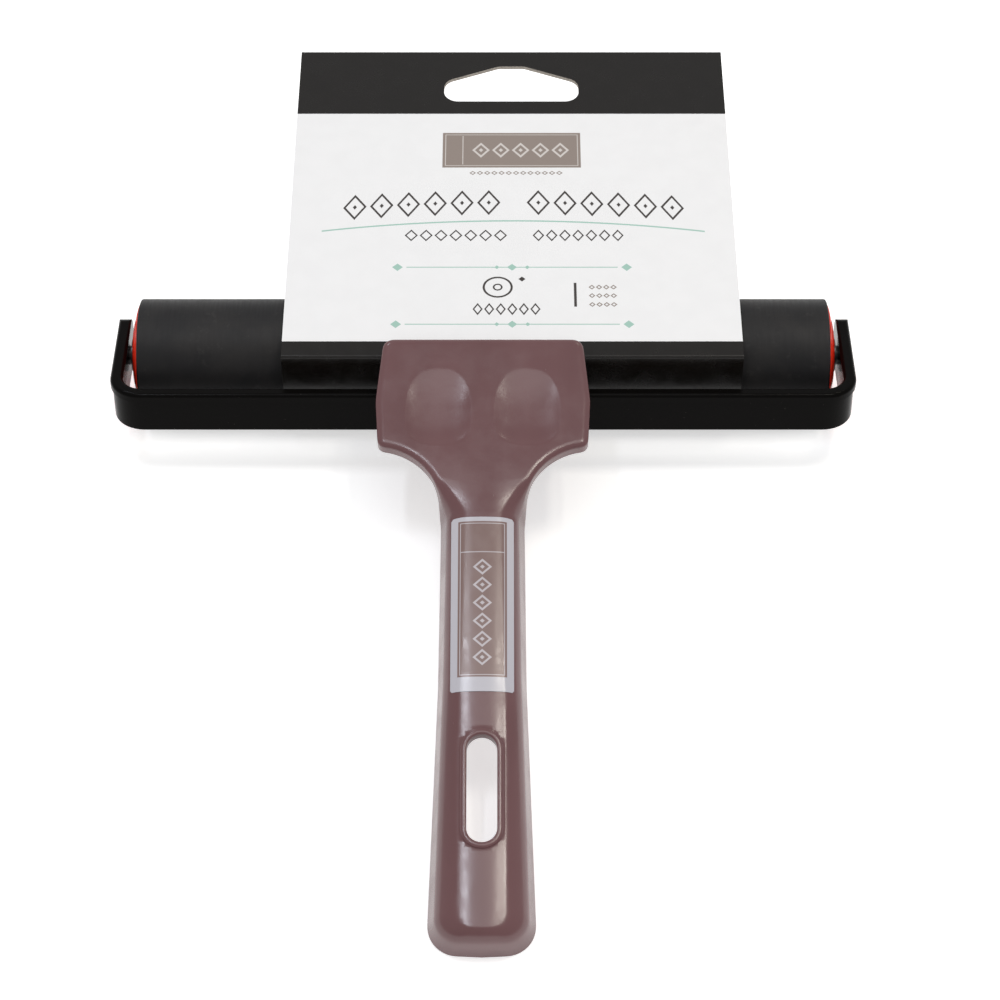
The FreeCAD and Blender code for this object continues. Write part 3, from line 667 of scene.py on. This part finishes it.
def relaxed(path, rounds):
    """Ease the path's bends; its two ends stay on the middle line."""
    for _ in range(rounds):
        eased = [before * 0.25 + point * 0.5 + after * 0.25
                 for before, point, after in zip(path, path[1:], path[2:])]
        path = [path[0]] + eased + [path[-1]]
    return path


def closed_outline():
    """Anticlockwise loops of the rim and of the flat top's edge."""
    right = relaxed(resampled(right_outline(), OUTLINE_SPACING), OUTLINE_ROUNDS)
    left = [Vector((-point.x, point.y, -point.z, point.w)) for point in reversed(right[1:-1])]
    loop = right + left
    return [Vector(point[:2]) for point in loop], [Vector(point[2:]) for point in loop]


def grip_profile(turns=12):
    """Drafted side and round shoulder: share of the way to the flat top, and height."""
    lean = math.tan(GRIP_DRAFT)
    flat = HANDLE_TOP * lean + GRIP_ROUND * math.tan((math.pi / 2 - GRIP_DRAFT) / 2)
    shoulder = HANDLE_TOP - GRIP_ROUND * (1 - math.sin(GRIP_DRAFT))
    profile = [(shoulder * step / 4 * lean / flat, shoulder * step / 4) for step in range(4)]
    for step in range(turns + 1):
        angle = GRIP_DRAFT + (math.pi / 2 - GRIP_DRAFT) * step / turns
        profile.append((1 - GRIP_ROUND * math.cos(angle) / flat,
                        HANDLE_TOP - GRIP_ROUND * (1 - math.sin(angle))))
    return profile


def plate_profile(turns=12):
    """The same for the head plate's edge."""
    side = HANDLE_TOP - PLATE_ROUND
    profile = [(0.0, PLATE_UNDER + (side - PLATE_UNDER) * step / 4) for step in range(4)]
    for step in range(turns + 1):
        angle = math.pi / 2 * step / turns
        profile.append((1 - math.cos(angle), side + PLATE_ROUND * math.sin(angle)))
    return profile


GRIP_PROFILE, PLATE_PROFILE = grip_profile(), plate_profile()


def outer_flank(rim, flat):
    """The outside from the rim up to the flat top: grip, head plate or a blend of them."""
    share = morph(rim.y)
    places = []
    for grip, plate in zip(GRIP_PROFILE, PLATE_PROFILE):
        inward, height = (first + (second - first) * share for first, second in zip(grip, plate))
        places.append((rim.lerp(flat, inward), height))
    return places


def inner_flank(rim, flat):
    """The cavity's side, from the rim's inside to the roof; it closes up under the head."""
    turns, lean = 8, math.tan(GRIP_DRAFT)
    edge = WALL + ROOF_LEVEL * lean + CAVITY_ROUND * math.tan((math.pi / 2 - GRIP_DRAFT) / 2)
    profile = [(WALL, RIM_LEVEL)]
    for step in range(turns + 1):
        angle = GRIP_DRAFT + (math.pi / 2 - GRIP_DRAFT) * step / turns
        profile.append((edge - CAVITY_ROUND * math.cos(angle),
                        ROOF_LEVEL - CAVITY_ROUND * (1 - math.sin(angle))))
    share = morph(rim.y)
    inward = (flat - rim).normalized()
    places = []
    for index, (distance, height) in enumerate(profile):
        under_head = CLOSED_INSET + CLOSED_STEP * index
        places.append((rim + inward * (distance + (under_head - distance) * share),
                       height + (PLATE_UNDER - height) * share))
    return places


def hollow_depth(across, along):
    """Thumb hollow: a shallow scoop with a round far end and a deeper, squarer near end."""
    off_x = abs(abs(across) - HOLLOW_CENTRE[0]) / HOLLOW_HALF[0]
    off_y = (along - HOLLOW_CENTRE[1]) / HOLLOW_HALF[1]
    along_part = off_y ** HOLLOW_FAR_POWER if off_y > 0 else (-off_y) ** HOLLOW_NEAR_POWER
    rho = off_x ** HOLLOW_SIDE_POWER + along_part
    depth = HOLLOW_SHALLOW + HOLLOW_SLOPE * (1 - off_y)
    return depth * max(1.0 - rho, 0.0)


def racetrack_loop(half, count=18):
    """Anticlockwise round-ended loop about the hang slot."""
    low, high = SLOT_START + SLOT_HALF, SLOT_STOP - SLOT_HALF
    loop = []
    for centre, start in ((low, math.pi), (high, 0.0)):
        for step in range(count + 1):
            angle = start + math.pi * step / count
            loop.append(Vector((half * math.cos(angle), centre + half * math.sin(angle))))
    return loop


def hollow_grid(spacing):
    """Interior points that carry the thumb hollows' shape."""
    points = []
    rows = int(2.3 * HOLLOW_HALF[1] / spacing)
    columns = int(2.3 * HOLLOW_HALF[0] / spacing)
    for side in (-1, 1):
        for row in range(rows + 1):
            for column in range(columns + 1):
                place = Vector((side * (HOLLOW_CENTRE[0] + (column - columns / 2) * spacing),
                                HOLLOW_CENTRE[1] + (row - rows / 2) * spacing))
                points.append(place)
    return points


def grip_grid(spacing):
    """Interior points that carry the grip's crown."""
    rows = int((MORPH_STOP - FLAT_START) / (2 * spacing))
    columns = int(2 * FLAT_GRIP.x / spacing)
    return [Vector(((column - columns / 2) * spacing, FLAT_START + GRID_INSET + 2 * spacing * row))
            for row in range(rows) for column in range(columns + 1)]


def filled_plan(shape, outer, hole, extra, height, flip):
    """Faces between an outer loop and a hole's loop of vertices, with extra points inside."""
    rim = outer + hole
    flat = [Vector((vertex["plan"].x, vertex["plan"].y)) for vertex in rim] + extra
    count, hole_count = len(outer), len(hole)
    edges = [(index, (index + 1) % count) for index in range(count)]
    edges += [(count + index, count + (index + 1) % hole_count) for index in range(hole_count)]
    places, _, faces, origins, _, _ = delaunay_2d_cdt(flat, edges, [], 0, 1e-6)
    made = []
    for place, origin in zip(places, origins):
        known = [index for index in origin if index < len(rim)]
        if known:
            made.append(rim[known[0]]["vertex"])
        else:
            made.append(shape.verts.new(crowned(place, height(place.x, place.y))))
    boundary = [vertex["plan"] for vertex in outer]
    opening = [vertex["plan"] for vertex in hole]
    for face in faces:
        middle = sum((places[index] for index in face), Vector((0, 0))) / len(face)
        if inside_loop(middle, boundary) and not inside_loop(middle, opening):
            corners = [made[index] for index in face]
            shape.faces.new(corners[::-1] if flip else corners)


def inside_loop(point, loop):
    """Whether a point of the plan lies within a closed loop."""
    inside = False
    for before, after in zip(loop, loop[1:] + loop[:1]):
        if (before.y > point.y) != (after.y > point.y):
            if point.x < before.x + (point.y - before.y) * (after.x - before.x) / (after.y - before.y):
                inside = not inside
    return inside


def add_ring(shape, places):
    """A closed ring of vertices from (plan, height) pairs, each kept with its plan."""
    return [{"plan": plan, "vertex": shape.verts.new(crowned(plan, up))} for plan, up in places]


def join_rings(shape, lower, upper):
    """A band of faces between two rings with the same number of vertices."""
    count = len(lower)
    for index in range(count):
        after = (index + 1) % count
        shape.faces.new([lower[index]["vertex"], lower[after]["vertex"],
                         upper[after]["vertex"], upper[index]["vertex"]])


def flank_rings(shape, loop, flats, flank):
    """The rings of one flank all the way round the handle, joined from low to high."""
    rows = [flank(rim, flat) for rim, flat in zip(loop, flats)]
    rings = [add_ring(shape, level) for level in zip(*rows)]
    for lower, upper in zip(rings, rings[1:]):
        join_rings(shape, lower, upper)
    return rings


def slot_rings(shape):
    """The raised rim round the hang slot and the slot's wall, from outside to the roof."""
    outer = SLOT_HALF + RIM_WIDTH
    section = [(outer + RIM_FOOT, HANDLE_TOP), (outer + RIM_STEP, HANDLE_TOP + RIM_STEP)]
    for step in range(9):
        angle = math.pi * step / 8
        middle, half = SLOT_HALF + RIM_WIDTH / 2, RIM_WIDTH / 2
        rise = RIM_BASE + (RIM_RISE - RIM_BASE) * max(math.sin(angle), 0.0) ** RIM_POWER
        section.append((middle + half * math.cos(angle), HANDLE_TOP + rise))
    section += [(SLOT_HALF, HANDLE_TOP - SLOT_LIP), (SLOT_HALF, ROOF_LEVEL + SLOT_FLARE),
                (SLOT_HALF + SLOT_FLARE, ROOF_LEVEL)]
    rings = [add_ring(shape, [(plan, up) for plan in racetrack_loop(half)]) for half, up in section]
    for lower, upper in zip(rings, rings[1:]):
        join_rings(shape, lower, upper)
    return rings


def cut_away(shape, place, direction, **clear):
    """Slice at a plane given in the handle's frame and drop the side that the keyword names."""
    normal = handle_point(*direction) - handle_point(0, 0, 0)
    everything = shape.verts[:] + shape.edges[:] + shape.faces[:]
    bmesh.ops.bisect_plane(shape, geom=everything, plane_co=handle_point(*place), plane_no=normal, **clear)


def close_cuts(shape):
    """Fill the openings that the cuts leave."""
    open_edges = [edge for edge in shape.edges if edge.is_boundary]
    bmesh.ops.holes_fill(shape, edges=open_edges, sides=0)


def handle_underside(source):
    """What hangs under the head, from the CAD solid: channel, webs and the strap's box."""
    shape = bmesh.new()
    shape.from_mesh(source)
    bmesh.ops.remove_doubles(shape, verts=shape.verts, dist=1e-7)
    cut_away(shape, (0, 0, PLATE_UNDER + UNDER_OVERLAP), (0, 0, 1), clear_outer=True)
    cut_away(shape, (0, UNDER_START, 0), (0, 1, 0), clear_inner=True)
    close_cuts(shape)
    for side in (-1, 1):
        corner = (side * UNDER_CORNER[0], UNDER_CORNER[1], 0)
        cut_away(shape, corner, (side, -UNDER_CHAMFER, 0), clear_outer=True)
        close_cuts(shape)
    bmesh.ops.scale(shape, verts=shape.verts, vec=(UNDER_NARROW, 1.0, 1.0))
    return shape


def handle_mesh():
    """The open-backed moulding, from the grip's rim to the head plate, with the hang slot."""
    shape = bmesh.new()
    loop, flats = closed_outline()
    outer = flank_rings(shape, loop, flats, outer_flank)
    inner = flank_rings(shape, loop, flats, inner_flank)
    rim = slot_rings(shape)
    join_rings(shape, outer[0], inner[0])

    def top_height(across, along):
        return HANDLE_TOP - hollow_depth(across, along)

    def roof_height(across, along):
        return ROOF_LEVEL + (PLATE_UNDER - ROOF_LEVEL) * morph(along)

    top_grid = hollow_grid(HOLLOW_SPACING) + grip_grid(GRIP_SPACING)
    filled_plan(shape, outer[-1], rim[0], top_grid, top_height, False)
    filled_plan(shape, inner[-1], rim[-1], grip_grid(ROOF_SPACING), roof_height, True)
    bmesh.ops.recalc_face_normals(shape, faces=shape.faces)
    mesh = bpy.data.meshes.new("handle_body")
    shape.to_mesh(mesh)
    shape.free()
    return mesh


def make_handle():
    """The handle in two pieces: the moulding, and what hangs under its head."""
    body = bpy.data.objects.new("handle_body", handle_mesh())
    under_shape = handle_underside(nodes["handle_shell"].data)
    under_mesh = bpy.data.meshes.new("handle_under")
    under_shape.to_mesh(under_mesh)
    under_shape.free()
    under = bpy.data.objects.new("handle_under", under_mesh)
    material = gloss_plastic("handle_mauve", srgb(106, 72, 74), srgb(99, 66, 68))
    for piece in (body, under):
        bpy.context.scene.collection.objects.link(piece)
        piece.data.materials.append(material)
        smooth_by_angle(piece, 35)
        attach(piece, "base")
    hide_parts("handle_shell")


def smooth_by_angle(piece, degrees):
    """Smooth faces, with edges sharper than the angle left crisp."""
    mesh = piece.data
    shape = bmesh.new()
    shape.from_mesh(mesh)
    for face in shape.faces:
        face.smooth = True
    for edge in shape.edges:
        if len(edge.link_faces) == 2:
            edge.smooth = edge.calc_face_angle(0.0) < math.radians(degrees)
    shape.to_mesh(mesh)
    shape.free()


# ---------------------------------------------------------------- handle label

LABEL_NEAR, LABEL_FAR, LABEL_HALF, LABEL_LIFT = 53.5, 93.0, 6.5, 0.11


def grip_height(across, along):
    """Height of the grip's top and shoulders, between its end corners and its neck."""
    low, high = (GRIP_END, GRIP_WAIST) if along < GRIP_WAIST.y else (GRIP_WAIST, GRIP_NECK)
    half = low.x + (high.x - low.x) * (along - low.y) / (high.y - low.y)
    inward = (half - abs(across)) / (half - flat_half(along))
    for before, after in zip(GRIP_PROFILE, GRIP_PROFILE[1:]):
        if inward < after[0]:
            share = (inward - before[0]) / (after[0] - before[0])
            return before[1] + (after[1] - before[1]) * share
    return HANDLE_TOP


def label_mesh():
    """A thin film that follows the grip's crown and shoulders, with small round corners."""
    shape = bmesh.new()
    columns, rows, corner = 52, 80, 0.35
    layers = []
    for lift in (LABEL_LIFT, -LABEL_LIFT):
        grid = []
        for row in range(rows + 1):
            along = LABEL_NEAR + (LABEL_FAR - LABEL_NEAR) * row / rows
            to_end = min(along - LABEL_NEAR, LABEL_FAR - along)
            cut = corner - math.sqrt(max(corner ** 2 - (corner - min(to_end, corner)) ** 2, 0.0))
            half = LABEL_HALF - cut
            line = []
            for column in range(columns + 1):
                across = half * (2 * column / columns - 1)
                steep = max(abs(across) - flat_half(along), 0.0) / GRIP_ROUND
                plan = Vector((across + math.copysign(lift * steep, across), along))
                line.append(shape.verts.new(crowned(plan, grip_height(across, along) + lift)))
            grid.append(line)
        layers.append(grid)
    top, bottom = layers
    for row in range(rows):
        for column in range(columns):
            shape.faces.new([top[row][column], top[row][column + 1],
                             top[row + 1][column + 1], top[row + 1][column]])
            shape.faces.new([bottom[row][column], bottom[row + 1][column],
                             bottom[row + 1][column + 1], bottom[row][column + 1]])
        for column in (0, columns):
            shape.faces.new([top[row][column], top[row + 1][column],
                             bottom[row + 1][column], bottom[row][column]])
    for row in (0, rows):
        for column in range(columns):
            shape.faces.new([top[row][column], top[row][column + 1],
                             bottom[row][column + 1], bottom[row][column]])
    bmesh.ops.recalc_face_normals(shape, faces=shape.faces)
    mesh = bpy.data.meshes.new("label_film")
    shape.to_mesh(mesh)
    shape.free()
    return mesh


def make_label():
    """The film label on the grip."""
    film = bpy.data.objects.new("label_film", label_mesh())
    bpy.context.scene.collection.objects.link(film)
    film.data.materials.append(label_finish())
    smooth_by_angle(film, 40)
    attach(film, "base")
    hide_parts("handle_label")


def label_finish():
    """Pale film with a printed panel: a frame line, a divider and a row of lozenges."""
    graph = Graph("label_film")
    place = graph.place()
    split = graph.node("ShaderNodeSeparateXYZ", {0: place})
    up_handle = (0.0, math.cos(HANDLE_PITCH) / MM, math.sin(HANDLE_PITCH) / MM)
    from_end = graph.node("ShaderNodeVectorMath", {0: place, 1: tuple(HANDLE_END)}, operation="SUBTRACT")
    along = graph.node("ShaderNodeVectorMath", {0: from_end.outputs[0], 1: up_handle},
                       operation="DOT_PRODUCT").outputs["Value"]
    across = graph.sums("DIVIDE", split.outputs[0], MM)
    ink = Print(graph, across, along)
    panel = ink.box(-5.1, 5.1, LABEL_NEAR + 3.2, LABEL_FAR - 1.0)
    turned = Print(graph, along, across)
    marks = ink.either(
        ink.outline(-4.7, 4.7, LABEL_NEAR + 3.6, LABEL_FAR - 1.4, 0.16),
        ink.box(-4.7, 4.7, LABEL_FAR - 8.2, LABEL_FAR - 8.0),
        turned.lozenges(LABEL_NEAR + 5.5, LABEL_FAR - 9.5, -1.9, 1.9, 6, 0.42, dot=0.3))
    film = graph.mix(graph.fade(along, LABEL_NEAR, LABEL_FAR), srgb(184, 182, 190), srgb(188, 185, 192))
    colour = graph.mix(panel, film, srgb(124, 101, 97))
    colour = graph.mix(marks, colour, srgb(186, 179, 184))
    cloud = graph.fade(graph.noise(2.5 * MM, 4), 0.35, 0.7, 0.16, 0.26)
    return graph.surface(Base_Color=colour, Roughness=cloud,
                         Normal=graph.bump(graph.noise(3 * MM, 2), 0.015 * MM, 0.4))


# ---------------------------------------------------------------- finishes on the CAD nodes

def dress(node, material):
    """Give a CAD node its material."""
    mesh = nodes[node].data
    mesh.materials.clear()
    mesh.materials.append(material)


def dress_nodes():
    """Materials of the CAD nodes that show as they are."""
    red = gloss_plastic("cap_red", srgb(232, 50, 28), srgb(214, 36, 18), 0.01, 0.12)
    hub = satin_black("hub_black")
    for side in ("left", "right"):
        dress("end_cap_" + side, red)
        dress("bush_" + side, hub)
        dress("stub_axle_" + side, hub)
    dress("rubber_sleeve", rubber_finish())
    dress("core_tube", satin_black("core_black"))
    dress("frame", enamel_finish())


# ---------------------------------------------------------------- studio

VIEW_ELEVATION = math.radians(54.0)
VIEW_DISTANCE = 0.6704
AXLE_ABOVE_MIDDLE = 0.0324
AXLE_LEFT_OF_MIDDLE = 0.00366
LENS, SENSOR = 108.0, 36.0
FLOOR_SIZE, FLOOR_GLOW = 6.0, 0.52
BACKDROP_FRONT, BACKDROP_REAR = 0.5, 0.66

# Name, place in metres, size in metres, power in watts and tint of each light.
SOFT_BOXES = (
    ("top_box", (0.0, 0.01, 0.95), (0.28, 0.35), 0.6, (1.0, 0.99, 0.98)),
    ("left_box", (-0.215, 0.07, 0.95), (0.05, 0.24), 1.15, (0.88, 0.92, 1.0)),
    ("right_box", (0.205, 0.07, 0.95), (0.035, 0.24), 0.7, (1.0, 0.95, 0.86)),
    ("right_rim_box", (0.31, 0.07, 0.93), (0.07, 0.24), 1.1, (1.0, 0.95, 0.86)),
    ("left_far_box", (-0.34, 0.62, 0.72), (0.06, 0.06), 0.6, (0.88, 0.92, 1.0)),
    ("right_far_box", (0.34, 0.62, 0.72), (0.06, 0.06), 0.45, (1.0, 0.93, 0.8)))


def make_camera():
    """Looks along +Y and down; the roller axis lies above and left of the view's middle."""
    camera = bpy.data.cameras.new("camera")
    camera.lens, camera.sensor_width = LENS, SENSOR
    holder = bpy.data.objects.new("camera", camera)
    bpy.context.scene.collection.objects.link(holder)
    ahead = Vector((0, math.cos(VIEW_ELEVATION), -math.sin(VIEW_ELEVATION)))
    upward = Vector((0, math.sin(VIEW_ELEVATION), math.cos(VIEW_ELEVATION)))
    place = axle - ahead * VIEW_DISTANCE - upward * AXLE_ABOVE_MIDDLE
    holder.location = place + Vector((AXLE_LEFT_OF_MIDDLE, 0, 0))
    holder.rotation_euler = (math.pi / 2 - VIEW_ELEVATION, 0, 0)
    bpy.context.scene.camera = holder


def soft_box(name, place, size, power, tint):
    """A rectangular area light that faces the middle of the brayer, long side along the handle."""
    light = bpy.data.lights.new(name, "AREA")
    light.shape = "RECTANGLE"
    light.size, light.size_y = size
    light.energy = power
    light.color = tint
    holder = bpy.data.objects.new(name, light)
    bpy.context.scene.collection.objects.link(holder)
    holder.location = place
    away = Vector(place).normalized()
    sideways = Vector((0, 1, 0)).cross(away).normalized()
    holder.rotation_euler = Matrix((sideways, away.cross(sideways), away)).transposed().to_euler()


def make_floor():
    """A pale matt floor with a faint glow of its own, which keeps the shadows light."""
    bpy.ops.mesh.primitive_plane_add(size=FLOOR_SIZE)
    floor = bpy.context.object
    floor.name = "floor"
    graph = Graph("floor")
    floor.data.materials.append(graph.surface(
        Base_Color=(0.93, 0.93, 0.93), Roughness=0.75, Specular_IOR_Level=0.2,
        Emission_Color=(1.0, 1.0, 1.0), Emission_Strength=FLOOR_GLOW))


def make_backdrop():
    """A white world, a little brighter behind the brayer than in front of it."""
    world = bpy.data.worlds.new("studio")
    bpy.context.scene.world = world
    world.use_nodes = True
    tree = world.node_tree
    backdrop = tree.nodes["Background"]
    backdrop.inputs["Color"].default_value = (1.0, 1.0, 1.0, 1.0)
    direction = tree.nodes.new("ShaderNodeSeparateXYZ")
    tree.links.new(tree.nodes.new("ShaderNodeTexCoord").outputs["Generated"], direction.inputs[0])
    front_to_back = tree.nodes.new("ShaderNodeMapRange")
    limits = {"From Min": -1.0, "From Max": 0.6, "To Min": BACKDROP_FRONT, "To Max": BACKDROP_REAR}
    for name, limit in limits.items():
        front_to_back.inputs[name].default_value = limit
    tree.links.new(direction.outputs["Y"], front_to_back.inputs["Value"])
    tree.links.new(front_to_back.outputs["Result"], backdrop.inputs["Strength"])


def make_studio():
    """Floor, backdrop and lights, shown without a film look."""
    make_floor()
    make_backdrop()
    for facts in SOFT_BOXES:
        soft_box(*facts)
    bpy.context.scene.view_settings.view_transform = "Standard"


make_studio()
make_camera()
dress_nodes()
make_handle()
make_label()
make_card()
